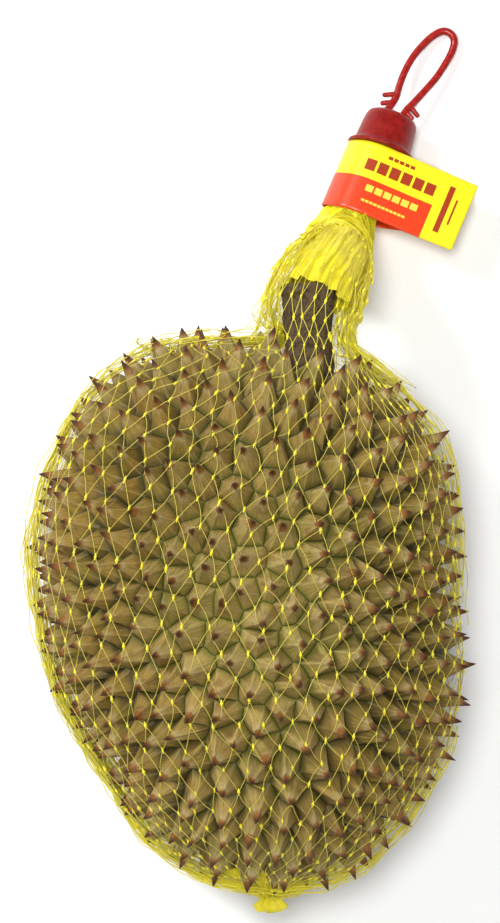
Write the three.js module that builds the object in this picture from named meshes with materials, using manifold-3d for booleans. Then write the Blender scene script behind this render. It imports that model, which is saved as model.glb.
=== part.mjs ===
// A durian in a net sleeve: a spiny fruit lying on its side with its stalk, inside a knotted net that is
// gathered into a plastic cap with a barbed carrying loop and wrapped by a folded card label.
// Units are millimetres. +Z is up and +Y runs from the fruit's blossom end to its stalk and the loop.
import * as THREE from "three";
import { mergeVertices } from "three/addons/utils/BufferGeometryUtils.js";
import { ConvexHull } from "three/addons/math/ConvexHull.js";
import Module from "manifold-3d";

const wasm = await Module();
wasm.setup();

const TAU = 2 * Math.PI;
const vec = (x, y, z) => new THREE.Vector3(x, y, z);

// ---- Driving dimensions -------------------------------------------------------------------------------

// Fruit. The outline is the radius to the spine tips in the horizontal plane, every 15 degrees from +X
// towards +Y. The blossom end's left side is drawn in and both shoulders are full, as the real fruit grew.
const OUTLINE_RADII = [
  93.5, 95, 105.5, 117, 121.5, 122.5, 124.5, 125.5, 119.5, 108.5, 98, 91,
  86, 84.5, 83.5, 84.5, 93, 105, 112, 116.5, 115, 108.5, 102, 99.5,
];
const HALF_THICKNESS = 84;
const LOBES = 5;
const LOBE_SWELL = 0.016;

// Spines: one pyramid on every cell of an irregular honeycomb.
const SPINE_HEIGHT = 14;
const LOWEST_SHARE = 0.9;
const HEIGHT_SPREAD = 0.14;
const LARGEST_SPINE = 1.06;
const SPINE_LEAN = 1.7;
const CELL_WIDTH = 13.2;
const CELL_SPREAD = 0.26;
const MEAN_GIRTH = 3.5 * CELL_WIDTH;
const SEED_SPACING = 0.79;
const SEED_TRIES = 26000;
const RELAX_ROUNDS = 2;
const FLOOR_CUT = 3;

// Stalk: it stands in a bald cell at the fruit's shoulder, leaning a little to the right.
const STALK_AT = vec(0.262, 0.965, 0.0).normalize();
const STALK_END = vec(28.5, 141, -4);
const STALK_FOOT_RADIUS = 9.6;
const STALK_WAIST_RADIUS = 9.2;
const STALK_END_RADIUS = 12.2;
const STALK_CELL_WIDTH = 50;

// Cap: a bell with a rim, whose rim and crown both touch the floor, which sets its tilt.
const CAP_RIM_AT = { x: 60.3, y: 201.3 };
const CAP_RIM_RADIUS = 15;
const CAP_CROWN_RADIUS = 11.2;
const CAP_LENGTH = 17.6;
const CAP_WALL = 1.8;
const HANDLE_TURN = THREE.MathUtils.degToRad(-20);

// Carrying loop: a round rod whose two legs pass through the crown and lock inside it with barbs.
const ROD_RADIUS = 1.4;
const LEG_OFFSET = 3.6;
const LOOP_RISE = 2.2;
const LEG_INSIDE = 8;
const LEG_CLEARANCE = 0.4;
const BARB_RADIUS = 0.9;

// Label: a card strip folded round the neck of the net, its two ends glued together as a flag.
const LABEL_HEIGHT = 32;
const LABEL_RADIUS = 12.8;
const LABEL_CARD = 0.5;
const LABEL_JOIN = new THREE.Vector2(21, 8.5);
const LABEL_FLAG_END = new THREE.Vector2(44, 4);

// Net: its outer surface lies this far beyond the spine tips.
const NET_OVER_TIPS = 3.4;
const NET_WALL = 1.2;
const NET_OPEN_BELOW = 2.5;
const NECK_RADIUS = 11.3;
const GAP = 0.35;

// ---- Solids -------------------------------------------------------------------------------------------

// A closed geometry as a manifold solid.
function solid(geometry) {
  const bare = geometry.clone();
  for (const name of Object.keys(bare.attributes)) {
    if (name !== "position") bare.deleteAttribute(name);
  }
  const merged = mergeVertices(bare, 1e-4);
  return new wasm.Manifold(
    new wasm.Mesh({
      numProp: 3,
      vertProperties: new Float32Array(merged.attributes.position.array),
      triVerts: new Uint32Array(merged.index.array),
    }),
  );
}

// A manifold solid as a three.js geometry.
function geometryOf(body) {
  const made = body.getMesh();
  const geometry = new THREE.BufferGeometry();
  geometry.setAttribute("position", new THREE.BufferAttribute(made.vertProperties, 3));
  geometry.setIndex(new THREE.BufferAttribute(made.triVerts, 1));
  geometry.computeVertexNormals();
  return geometry;
}

// Moves every vertex of a geometry to where place() says.
function reshape(geometry, place) {
  const at = geometry.attributes.position;
  for (let i = 0; i < at.count; i++) {
    const p = place(vec(at.getX(i), at.getY(i), at.getZ(i)));
    at.setXYZ(i, p.x, p.y, p.z);
  }
  return geometry;
}

// A tube of varying radius along a curve, closed at both ends.
function taperedTube(curve, radiusAt, sides, steps) {
  const frames = curve.computeFrenetFrames(steps, false);
  return reshape(new THREE.CylinderGeometry(1, 1, 1, sides, steps), (p) => {
    const t = p.y + 0.5;
    const k = Math.round(t * steps);
    return curve
      .getPointAt(t)
      .addScaledVector(frames.normals[k], -p.x * radiusAt(t))
      .addScaledVector(frames.binormals[k], p.z * radiusAt(t));
  });
}

// Smooth interpolation through evenly spaced values, t from 0 to 1.
function along(values, closed = false) {
  const curve = new THREE.CatmullRomCurve3(values.map((v) => vec(v, 0, 0)), closed, "catmullrom");
  return (t) => curve.getPoint(t).x;
}

// A repeatable stream of random numbers from 0 to 1.
function randomStream(seed) {
  let state = seed;
  return () => {
    state = (state + 0x6d2b79f5) | 0;
    let mixed = Math.imul(state ^ (state >>> 15), 1 | state);
    mixed = (mixed + Math.imul(mixed ^ (mixed >>> 7), 61 | mixed)) ^ mixed;
    return ((mixed ^ (mixed >>> 14)) >>> 0) / 4294967296;
  };
}

// ---- Fruit surface ------------------------------------------------------------------------------------

const outlineRadius = along(OUTLINE_RADII, true);

// Distance from the fruit's centre to the level of the spine tips, in a direction.
function tipRadius(direction) {
  const turn = Math.atan2(direction.y, direction.x) / TAU;
  const flat = outlineRadius(turn < 0 ? turn + 1 : turn);
  const level = Math.hypot(direction.x, direction.y);
  const round = 1 / Math.hypot(level / flat, direction.z / HALF_THICKNESS);
  const lobe = Math.cos(LOBES * Math.atan2(direction.z, direction.x));
  return round * (1 + LOBE_SWELL * lobe * (1 - direction.y ** 2));
}

// A point at a height above the valleys between the spines.
function bodyPoint(direction, height = 0) {
  return direction.clone().multiplyScalar(tipRadius(direction) - SPINE_HEIGHT + height);
}

// The outward normal of the fruit's body in a direction.
function bodyNormal(direction) {
  const side = Math.abs(direction.z) < 0.9 ? vec(0, 0, 1) : vec(1, 0, 0);
  const u = direction.clone().cross(side).normalize();
  const v = direction.clone().cross(u).normalize();
  const step = 0.01;
  const here = bodyPoint(direction);
  const alongU = bodyPoint(direction.clone().addScaledVector(u, step).normalize()).sub(here);
  const alongV = bodyPoint(direction.clone().addScaledVector(v, step).normalize()).sub(here);
  return alongU.cross(alongV).normalize();
}

// ---- Spine layout -------------------------------------------------------------------------------------

const random = randomStream(7);

function randomDirection() {
  const z = 2 * random() - 1;
  const turn = TAU * random();
  const level = Math.sqrt(1 - z * z);
  return vec(level * Math.cos(turn), level * Math.sin(turn), z);
}

// Seeds scattered over the body, none closer to another than their widths allow. The stalk's is first.
function scatterSeeds() {
  const seeds = [{ direction: STALK_AT.clone(), at: bodyPoint(STALK_AT), width: STALK_CELL_WIDTH }];
  for (let i = 0; i < SEED_TRIES; i++) {
    const direction = randomDirection();
    const width = CELL_WIDTH * (1 + CELL_SPREAD * (2 * random() - 1));
    const at = bodyPoint(direction);
    const free = seeds.every((s) => s.at.distanceTo(at) > (SEED_SPACING * (s.width + width)) / 2);
    if (free) seeds.push({ direction, at, width });
  }
  return seeds;
}

// The corners of each seed's cell in order round it. A corner is where three cells meet.
function cellsOf(seeds) {
  const points = seeds.map((s) => s.direction);
  const indexOf = new Map(points.map((p, i) => [p, i]));
  const corners = [];
  const fans = points.map(() => new Map());
  for (const face of new ConvexHull().setFromPoints(points).faces) {
    const [a, b, c] = [face.getEdge(0), face.getEdge(1), face.getEdge(2)].map((e) => indexOf.get(e.head().point));
    const normal = points[b].clone().sub(points[a]).cross(points[c].clone().sub(points[a])).normalize();
    const corner = corners.push(bodyPoint(normal)) - 1;
    // Going round a seed, the triangle between neighbours p and q follows the one that ends at p.
    fans[a].set(b, { next: c, corner });
    fans[b].set(c, { next: a, corner });
    fans[c].set(a, { next: b, corner });
  }
  const rings = fans.map((fan) => {
    const start = fan.keys().next().value;
    const ring = [];
    let key = start;
    do {
      ring.push(fan.get(key).corner);
      key = fan.get(key).next;
    } while (key !== start);
    return ring;
  });
  return { corners, rings };
}

// The centre of a ring of corners, weighted by the length of its sides.
function ringCentre(ring, corners) {
  const centre = vec(0, 0, 0);
  let whole = 0;
  ring.forEach((corner, i) => {
    const a = corners[corner];
    const b = corners[ring[(i + 1) % ring.length]];
    const length = a.distanceTo(b);
    centre.addScaledVector(a.clone().add(b), length / 2);
    whole += length;
  });
  return { centre: centre.divideScalar(whole), girth: whole };
}

// Moves each seed but the stalk's to the middle of its cell, a few times, to even the cells out a little.
function relax(seeds) {
  for (let round = 0; round < RELAX_ROUNDS; round++) {
    const { corners, rings } = cellsOf(seeds);
    seeds.slice(1).forEach((seed, i) => {
      seed.direction = ringCentre(rings[i + 1], corners).centre.normalize();
      seed.at = bodyPoint(seed.direction);
    });
  }
  return seeds;
}

// ---- Husk ---------------------------------------------------------------------------------------------

// The husk before its lowest spines are blunted, with the height of its lowest tip.
function makeHusk() {
  const { corners, rings } = cellsOf(relax(scatterSeeds()));
  const places = corners.map((c) => c.toArray()).flat();
  const triangles = [];
  let lowest = Infinity;
  rings.forEach((ring, cell) => {
    const { centre, girth } = ringCentre(ring, corners);
    const out = bodyNormal(centre.clone().normalize());
    const lean = out.clone().cross(randomDirection()).multiplyScalar(SPINE_LEAN);
    const size = Math.min(LARGEST_SPINE, Math.sqrt(girth / MEAN_GIRTH));
    const height = SPINE_HEIGHT * size * (LOWEST_SHARE + HEIGHT_SPREAD * random());
    const tip = cell === 0 ? centre : centre.addScaledVector(out, height).add(lean);
    lowest = Math.min(lowest, tip.z);
    const top = places.push(...tip.toArray()) / 3 - 1;
    ring.forEach((corner, i) => triangles.push(corner, ring[(i + 1) % ring.length], top));
  });
  const geometry = new THREE.BufferGeometry();
  geometry.setAttribute("position", new THREE.BufferAttribute(new Float32Array(places), 3));
  geometry.setIndex(triangles);
  return { body: solid(geometry), lowest, socket: rings[0].map((c) => corners[c]) };
}

// Everything below a height, as a solid to cut away.
function below(height) {
  const size = 600;
  const box = new THREE.BoxGeometry(size, size, size);
  return solid(box.translate(0, 0, height - size / 2));
}

const husk = makeHusk();
const FLOOR = husk.lowest + FLOOR_CUT;

// ---- Stalk --------------------------------------------------------------------------------------------

// The stalk stands clear of the highest corner of its bald cell, and flares to its cut end.
const stalkLine = STALK_END.clone().sub(bodyPoint(STALK_AT)).normalize();
const stalkReach = Math.max(...husk.socket.map((c) => c.clone().sub(STALK_END).dot(stalkLine)));
const stalkFoot = STALK_END.clone().addScaledVector(stalkLine, stalkReach + GAP);

function makeStalk() {
  const curve = new THREE.LineCurve3(stalkFoot, STALK_END);
  const radius = along([
    STALK_FOOT_RADIUS,
    STALK_WAIST_RADIUS,
    STALK_WAIST_RADIUS + 0.4,
    (STALK_WAIST_RADIUS + STALK_END_RADIUS) / 2,
    STALK_END_RADIUS,
    STALK_END_RADIUS - 0.8,
  ]);
  return taperedTube(curve, radius, 20, 10);
}

// ---- Cap and loop, in the cap's own frame: +Y out through the crown, the rim's mouth at y = 0 ----------

const capTilt = Math.asin((CAP_RIM_RADIUS - CAP_CROWN_RADIUS) / (CAP_LENGTH - CAP_WALL));

// From the cap's frame to the fruit's: turned in plan, tilted until it lies on the floor.
const capFrame = new THREE.Matrix4()
  .makeTranslation(CAP_RIM_AT.x, CAP_RIM_AT.y, FLOOR + CAP_RIM_RADIUS * Math.cos(capTilt) + GAP)
  .multiply(new THREE.Matrix4().makeRotationZ(HANDLE_TURN))
  .multiply(new THREE.Matrix4().makeRotationX(-capTilt));

function makeCap() {
  const crownTop = CAP_LENGTH;
  const inside = CAP_CROWN_RADIUS - CAP_WALL;
  const profile = [
    [CAP_RIM_RADIUS - 0.5, 0],
    [CAP_RIM_RADIUS, 0.5],
    [CAP_RIM_RADIUS, 1.4],
    [CAP_RIM_RADIUS - 1, 2.1],
    [CAP_RIM_RADIUS - 2.4, 2.6],
    [CAP_CROWN_RADIUS + 0.4, crownTop - 4],
    [CAP_CROWN_RADIUS - 0.1, crownTop - 2],
    [CAP_CROWN_RADIUS - 1.1, crownTop - 0.7],
    [CAP_CROWN_RADIUS - 2.6, crownTop],
    [0, crownTop],
    [0, crownTop - CAP_WALL],
    [inside - 1, crownTop - CAP_WALL],
    [inside, crownTop - CAP_WALL - 1],
    [CAP_RIM_RADIUS - 3.6, 1],
    [CAP_RIM_RADIUS - 3, 0],
    [CAP_RIM_RADIUS - 0.5, 0],
  ].map(([r, y]) => new THREE.Vector2(r, y));
  let bell = solid(new THREE.LatheGeometry(profile, 32));
  for (const side of [-1, 1]) {
    const hole = new THREE.CylinderGeometry(ROD_RADIUS + LEG_CLEARANCE, ROD_RADIUS + LEG_CLEARANCE, 6, 16);
    bell = bell.subtract(solid(hole.translate(side * LEG_OFFSET, crownTop - CAP_WALL / 2, 0)));
  }
  return geometryOf(bell);
}

// The loop's centre line, seen from above, from one leg's inner end to the other's. It leans to the right.
const LOOP_LINE = [
  [-LEG_OFFSET, -LEG_INSIDE],
  [-LEG_OFFSET, -3],
  [-LEG_OFFSET, 0.5],
  [-2.4, 5.2],
  [-1.7, 8.6],
  [-2, 13],
  [-2, 20],
  [-1, 27.2],
  [1.3, 34.3],
  [4.6, 40.6],
  [8, 43.8],
  [11.3, 43.8],
  [13.7, 41.5],
  [14.4, 37],
  [13.6, 30.8],
  [12, 23.6],
  [9.2, 16],
  [6.5, 9.2],
  [4.6, 4.8],
  [LEG_OFFSET, 0.5],
  [LEG_OFFSET, -3],
  [LEG_OFFSET, -LEG_INSIDE],
];

// Barbs, swept back from the rod's centre line to their tips. The last two lock inside the crown.
const BARBS = [
  { from: [-1.8, 10.1], to: [-7.7, 7.4] },
  { from: [-2.3, 5.9], to: [-7.3, 3.6] },
  { from: [5.4, 6.9], to: [10.6, 3.6] },
  { from: [4.3, 3.7], to: [8.7, 1.6] },
  { from: [-LEG_OFFSET, -6.8], to: [-5.8, -4.8] },
  { from: [LEG_OFFSET, -6.8], to: [5.8, -4.8] },
];

// The loop's free end is bent up a little against the tilt of the cap, so that it lies along the floor.
function loopRise(y) {
  const reach = 45;
  return LOOP_RISE * (Math.max(0, y) / reach) ** 2;
}

function makeLoop() {
  const point = ([x, y]) => vec(x, y + CAP_LENGTH, loopRise(y));
  const line = new THREE.CatmullRomCurve3(LOOP_LINE.map(point), false, "centripetal");
  const section = new THREE.Shape();
  section.absarc(0, 0, ROD_RADIUS, 0, TAU, false);
  let loop = solid(new THREE.ExtrudeGeometry(section, { steps: 64, curveSegments: 5, extrudePath: line }));
  for (const { from, to } of BARBS) {
    const way = point(to).sub(point(from));
    const barb = new THREE.CylinderGeometry(BARB_RADIUS * 0.8, BARB_RADIUS, way.length(), 8);
    barb.translate(0, way.length() / 2, 0);
    barb.applyQuaternion(new THREE.Quaternion().setFromUnitVectors(vec(0, 1, 0), way.clone().normalize()));
    loop = loop.add(solid(barb.translate(...point(from).toArray())));
  }
  return geometryOf(loop);
}

// ---- Label, in the cap's frame, round the y axis below the rim ------------------------------------------

// A teardrop: a circle of the given radius drawn out to a point, anticlockwise from the upper tangent.
function teardrop(radius, point, path) {
  const spread = Math.acos(radius / point.length());
  const upper = point.angle() + spread;
  const lower = point.angle() - spread;
  path.moveTo(point.x, point.y);
  path.absarc(0, 0, radius, upper, lower + TAU, false);
  path.lineTo(point.x, point.y);
  return path;
}

function makeLabel() {
  const half = LABEL_CARD / 2;
  const flagWay = LABEL_FLAG_END.clone().sub(LABEL_JOIN).normalize();
  const side = new THREE.Vector2(-flagWay.y, flagWay.x).multiplyScalar(half);
  const drop = teardrop(LABEL_RADIUS, LABEL_JOIN, new THREE.Shape());
  const room = teardrop(LABEL_RADIUS - LABEL_CARD, LABEL_JOIN.clone().multiplyScalar(0.965), new THREE.Path());
  drop.holes.push(room);
  const flag = new THREE.Shape([
    LABEL_JOIN.clone().addScaledVector(flagWay, -1).add(side),
    LABEL_JOIN.clone().addScaledVector(flagWay, -1).sub(side),
    LABEL_FLAG_END.clone().sub(side),
    LABEL_FLAG_END.clone().add(side),
  ]);
  const cut = { depth: LABEL_HEIGHT, bevelEnabled: false, curveSegments: 28 };
  const card = solid(new THREE.ExtrudeGeometry(drop, cut)).add(solid(new THREE.ExtrudeGeometry(flag, cut)));
  // The section's plane stands across the neck, with the flag to the right and its face up.
  return geometryOf(card).rotateX(Math.PI / 2).translate(0, -GAP, 0);
}

// ---- Net ----------------------------------------------------------------------------------------------

// The fruit's round envelope, a distance beyond the level of the spine tips.
function envelope(beyond) {
  return reshape(new THREE.SphereGeometry(1, 34, 22), (p) => {
    const direction = p.normalize();
    return direction.multiplyScalar(tipRadius(direction) + beyond);
  });
}

// The sleeve's neck: round the stalk, over its end and down towards the floor.
function neck() {
  const foot = vec(0, -LABEL_HEIGHT - 8, 0).applyMatrix4(capFrame);
  const line = new THREE.CatmullRomCurve3(
    [
      vec(10, 66, 2),
      vec(17, 98, 0),
      vec(22, 116, -2),
      vec(28, 129, -4),
      vec(33, 141, -7),
      vec(38.5, 151, -17),
      vec(42.5, 158, -34),
      foot,
    ],
    false,
    "centripetal",
  );
  const radius = along([44, 38, 31, 25, 22, 21, 20, 17.5, 15, 12.5, NECK_RADIUS - 0.4]);
  return taperedTube(line, radius, 20, 18);
}

// The straight, tightly gathered throat that the label wraps and the cap closes, in the cap's frame.
function throat() {
  const profile = [
    [0, -LABEL_HEIGHT - 10],
    [NECK_RADIUS - 1, -LABEL_HEIGHT - 10],
    [NECK_RADIUS, -LABEL_HEIGHT - 8],
    [NECK_RADIUS, -2],
    [NECK_RADIUS - 0.6, 0],
    [NECK_RADIUS - 1.8, 6],
    [NECK_RADIUS - 3.4, 8],
    [0, 8],
  ].map(([r, y]) => new THREE.Vector2(r, y));
  return new THREE.LatheGeometry(profile, 20).applyMatrix4(capFrame);
}

// The room that the stalk stands in, inside the sleeve and its neck.
function stalkRoom() {
  const line = new THREE.LineCurve3(
    stalkFoot.clone().addScaledVector(stalkLine, -30),
    STALK_END.clone().addScaledVector(stalkLine, 3),
  );
  return solid(taperedTube(line, () => STALK_END_RADIUS + 2.2, 20, 2));
}

// The sleeve round the fruit: a skin, open underneath where the spines reach the floor.
function makeSleeve() {
  const skin = solid(envelope(NET_OVER_TIPS)).subtract(solid(envelope(NET_OVER_TIPS - NET_WALL)));
  return geometryOf(skin.subtract(stalkRoom()).subtract(below(FLOOR + NET_OPEN_BELOW)));
}

// The sleeve's gathered neck and throat, from the fruit's shoulder to the inside of the cap.
function makeNeck() {
  const gathered = solid(neck()).add(solid(throat()));
  return geometryOf(gathered.subtract(solid(envelope(NET_OVER_TIPS + GAP))).subtract(stalkRoom()));
}

// The sleeve's blossom end, gathered and welded into a flat tab.
function makeTab() {
  const gather = new THREE.SphereGeometry(1, 14, 10).scale(15, 9, 8).translate(5, -113, -8);
  const weld = new THREE.SphereGeometry(1, 14, 8).scale(8, 5, 3.4).translate(11.5, -121, -9);
  return geometryOf(solid(gather).add(solid(weld)).subtract(solid(envelope(NET_OVER_TIPS + GAP))));
}

// ---- Assembly -----------------------------------------------------------------------------------------

const NET = { color: 0xe6d614, roughness: 0.45 };
const MATERIALS = {
  husk: { color: 0x8c7d3f, roughness: 0.72 },
  stem: { color: 0x54432f, roughness: 0.9 },
  net_bag: NET,
  net_neck: NET,
  net_tab: NET,
  clip_cap: { color: 0x9a2318, roughness: 0.42 },
  loop_handle: { color: 0xa8231c, roughness: 0.35 },
  wrap_label: { color: 0xf3e51c, roughness: 0.3 },
};

function piece(name, geometry, frame) {
  const material = new THREE.MeshStandardMaterial({ ...MATERIALS[name], metalness: 0 });
  const mesh = new THREE.Mesh(geometry, material);
  mesh.name = name;
  if (frame) mesh.applyMatrix4(frame);
  return mesh;
}

const durian = new THREE.Group();
durian.add(
  piece("husk", geometryOf(husk.body.subtract(below(FLOOR)))),
  piece("stem", makeStalk()),
  piece("net_bag", makeSleeve()),
  piece("net_neck", makeNeck()),
  piece("net_tab", makeTab()),
  piece("clip_cap", makeCap(), capFrame),
  piece("loop_handle", makeLoop(), capFrame),
  piece("wrap_label", makeLabel(), capFrame),
);

// The origin is on the floor, under the middle of the object's box.
const box = new THREE.Box3().setFromObject(durian, true);
const middle = box.getCenter(vec(0, 0, 0));
durian.position.set(-middle.x, -middle.y, -box.min.z);

export default durian;
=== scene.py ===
"""The looks of a durian in its yellow net sleeve, lying on a pale floor and seen from straight above.

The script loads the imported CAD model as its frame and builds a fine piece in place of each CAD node:
the spiny husk, the stalk, the knotted net with its gathered neck and tab, the cap, the loop and the label.
All lengths are in metres in the CAD model's own frame: +Z up, +Y towards the stalk and the loop.
"""

import math
from collections import defaultdict

import bmesh
import bpy
import numpy as np
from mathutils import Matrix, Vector
from mathutils.bvhtree import BVHTree


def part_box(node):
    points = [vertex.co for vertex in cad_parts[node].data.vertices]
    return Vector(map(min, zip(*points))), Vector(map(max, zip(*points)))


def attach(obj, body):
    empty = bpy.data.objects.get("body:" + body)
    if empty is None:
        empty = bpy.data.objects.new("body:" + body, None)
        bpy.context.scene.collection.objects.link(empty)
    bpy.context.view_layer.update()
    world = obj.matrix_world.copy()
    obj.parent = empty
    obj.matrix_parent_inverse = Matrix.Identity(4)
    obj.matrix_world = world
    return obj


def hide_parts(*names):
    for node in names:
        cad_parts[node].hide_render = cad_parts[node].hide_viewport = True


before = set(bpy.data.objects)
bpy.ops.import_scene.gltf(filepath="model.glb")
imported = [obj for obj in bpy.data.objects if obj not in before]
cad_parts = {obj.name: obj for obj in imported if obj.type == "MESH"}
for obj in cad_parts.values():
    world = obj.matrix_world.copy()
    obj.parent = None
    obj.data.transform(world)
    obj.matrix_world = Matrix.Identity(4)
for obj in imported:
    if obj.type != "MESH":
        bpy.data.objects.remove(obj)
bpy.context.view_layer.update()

MM = 0.001
TAU = 2 * math.pi
UP = np.array([0.0, 0.0, 1.0])

# ---- Driving dimensions

# Camera: straight above, this far over the fruit's mid-height, with this much in view from top to bottom.
CAMERA_DISTANCE = 2.2
VIEW_HEIGHT = 0.388
VIEW_CENTRE = (-0.0021, 0.0023)
SENSOR_HEIGHT = 24

# Lamps, as (name, place, width, watts), and the sky's strength at the horizon and overhead.
LAMPS = [
    ("key", (-1.1, 1.0, 1.5), 0.45, 33),
    ("fill", (1.3, -0.6, 1.3), 1.2, 3),
    ("top", (-0.1, 0.15, 2.6), 0.7, 55),
]
LAMP_TARGET = (0, 0, 0.08)
HORIZON_LIGHT = 0.8
CEILING_LIGHT = 0.21
FLOOR_REACH = 3.0

# Spines: how each rises from its valley (first) to its tip, as (share of the cell's width, share of height).
SPINE_PROFILE = [
    (0.97, 0.03), (0.9, 0.085), (0.79, 0.165), (0.665, 0.275), (0.535, 0.395),
    (0.405, 0.53), (0.285, 0.665), (0.18, 0.79), (0.095, 0.9), (0.042, 0.965),
]
SPINE_HEIGHT = 13 * MM
# How much higher a tip is than the point of its CAD pyramid, and how far it is bent to a side.
SPINE_STRETCH = 1.1
SPINE_BEND = 1.6 * MM
# How hollow the flanks are, as a share of the spine's width.
SPINE_HOLLOW = 0.07
# The valleys between the spines: how deep, how far off the straight line, and the distance between points.
VALLEY_DEPTH = 0.7 * MM
VALLEY_DRIFT = 0.35 * MM
VALLEY_STEP = 1.5 * MM
# The bend between two CAD faces (the sine of it) from which the edge between them is a valley.
VALLEY_BEND = 0.12
# Faces below this height are the blunted ends that the fruit rests on.
ON_FLOOR = 0.01 * MM
# No spine grows this near to the middle of the stalk's foot.
BALD_RADIUS = 9 * MM

# Stalk: its radius in millimetres from the foot (0) to the flared cut end (1), how far its root runs on
# inside the fruit, and the cut from its edge inwards, as (share of the radius, depth in millimetres).
STEM_PROFILE = [(0, 10.6), (0.2, 9.9), (0.72, 10.2), (0.86, 11.0), (0.95, 12.2), (1, 12.0)]
STEM_ROOT = 0.42
STEM_CUT = [(0.97, -0.3), (0.9, -0.2), (0.8, 0.5), (0.6, 1.0), (0.4, 0.8), (0.2, 1.2), (0.02, 1.0)]

# Net: a lattice of knots joined by strands, which are chains of straight parts. The strands start bowed to
# random sides, and the rows of knots start a little closer than the strands' length allows.
COLUMNS = 46
STRAND_LENGTH = 12.3 * MM
STRAND_PARTS = 6
STRAND_RADIUS = 0.155 * MM
STRAND_BOW = 1.5 * MM
ROW_SLACK = 0.86
# A knot: (place along it, radius) in millimetres.
KNOT_SHAPE = [(-1.6, 0.18), (-0.8, 0.38), (-0.2, 0.68), (0.4, 0.6), (0.9, 0.34), (1.7, 0.18)]
# How deep the net settles between the spines' tips, and how much less on its slack left and lower left.
NET_ROUNDS = 200
NET_SINK = 5.0 * MM
NET_SLACK_LEFT = 3.5 * MM
NET_SLACK_CORNER = 3.0 * MM
NET_CORNER = np.array([-0.76, -0.65, 0.0])
# The least distances of the net from the floor: its settled strands, and its loose ones.
STRAND_GAP = 0.4 * MM
LOOSE_GAP = 0.5 * MM

# The middle of the sleeve, in millimetres: where it leaves the tab (x, y), its way down from the stalk's cut
# end, and its throat (x, y) in the cap's frame.
SLEEVE_START = (5.6, -181.5)
SLEEVE_DROP = [(1, -12, -1), (4.5, 0, -3), (10, 10, -13), (14, 17, -30)]
SLEEVE_THROAT = [(-7.5, -47), (-5.4, -40), (-2.6, -32), (-1.6, -24), (-1, -14), (0, 0), (0, 7)]
# Where the lattice is drawn into the tab: y, and the most that its radius may be.
TAB_DRAW = [(-190 * MM, 3 * MM), (-181 * MM, 4.5 * MM), (-170 * MM, 100 * MM)]

# Loose strands bunched along the fruit's outline: (from, to) in degrees from +X, how many, how far out.
BUNCHES = [
    ((130, 205), 34, 3.0 * MM),
    ((185, 245), 44, 2.5 * MM),
    ((222, 276), 64, 1.5 * MM),
    ((266, 322), 30, 1.0 * MM),
    ((102, 142), 18, 0.5 * MM),
    ((5, 68), 18, 0.5 * MM),
]
BUNCH_RADIUS = 0.19 * MM
NECK_FOLDS = 120
FOLD_RADIUS = 0.14 * MM
LOOSE_POINTS = 60

# Gather: the radius in millimetres of the pleated mass from the stalk (0) to the cap (1). The lattice dives
# into it this far below the label, over this length, by this share of its radius.
GATHER_PROFILE = [(0, 13.4), (0.06, 12.9), (0.3, 11.6), (0.5, 11.6), (0.6, 10.2), (0.93, 10.2), (1, 9.5)]
DIVE_BELOW = 26 * MM
DIVE_LENGTH = 12 * MM
DIVE_DEPTH = 0.3

# Tab: the blossom end's gather and its welded end, as (y, x of the middle, half width, half thickness) in
# millimetres, and the height of its middle above the floor.
TAB_SECTIONS = [
    (-169.0, -3.0, 19.0, 9.0),
    (-173.5, -2.5, 17.5, 7.5),
    (-177.5, 0.2, 13.0, 5.6),
    (-180.0, 4.2, 7.8, 3.6),
    (-181.2, 6.2, 5.0, 2.3),
    (-182.6, 6.6, 4.9, 2.1),
    (-183.6, 6.7, 6.4, 2.2),
    (-185.0, 6.8, 7.6, 2.2),
    (-186.6, 6.6, 6.6, 2.0),
    (-187.8, 6.2, 4.2, 1.5),
    (-188.4, 6.0, 0.2, 0.1),
]
TAB_HEIGHT = 74 * MM

# Cap, in its own frame: +Y out through the crown, the rim's mouth at y = 0. The outside, in millimetres, as
# (out from the rim's radius, above the mouth) and (out from the crown's radius, above the crown's top).
CAP_RIM_RADIUS = 15 * MM
CAP_CROWN_RADIUS = 11.2 * MM
CAP_LENGTH = 17.6 * MM
CAP_WALL = 1.8 * MM
CAP_RIM = [(-3, 0), (-0.7, 0), (-0.2, 0.2), (0, 0.7), (-0.1, 1.3), (-0.7, 1.8), (-1.7, 2.3)]
CAP_SIDE = [(-2.3, 3), (-2.5, 4.5)]
CAP_CROWN = [(0.8, -7), (0.4, -3.6), (0, -2), (-0.6, -1), (-1.6, -0.4), (-3, -0.1)]

# Loop: its middle line over the crown seen from above, in millimetres, and the barbs on its legs.
ROD_RADIUS = 1.5 * MM
LOOP_RISE = 2.2 * MM
LOOP_LENGTH = 45 * MM
LOOP_LINE = [
    (-3.6, -8), (-3.6, -3), (-3.6, 0.5), (-2.4, 5.2), (-1.7, 8.6), (-2, 13), (-2, 20), (-1, 27.2),
    (1.3, 34.3), (4.6, 40.6), (8, 43.8), (11.3, 43.8), (13.7, 41.5), (14.4, 37), (13.6, 30.8),
    (12, 23.6), (9.2, 16), (6.5, 9.2), (4.6, 4.8), (3.6, 0.5), (3.6, -3), (3.6, -8),
]
BARBS = [
    ((-1.8, 10.1), (-7.7, 7.4)),
    ((-2.3, 5.9), (-7.3, 3.6)),
    ((5.4, 6.9), (10.6, 3.6)),
    ((4.3, 3.7), (8.7, 1.6)),
]
BARB_RADIUS = 1.05 * MM

# Label, in the cap's frame: a strip round the throat whose glued ends make a flag to the right. The wrap
# bulges to the left, leans over its height, and lifts the lower edge of its back.
LABEL_HEIGHT = 32 * MM
LABEL_RADIUS = 12.55 * MM
LABEL_GAP = 0.35 * MM
LABEL_BULGE = 1.2
LABEL_SKEW = -0.05
LABEL_RISE = 0.14
LABEL_JOIN = (21 * MM, 8.5 * MM)
LABEL_FLAG_END = (44 * MM, 4 * MM)
CARD_THICKNESS = 0.3 * MM

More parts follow.
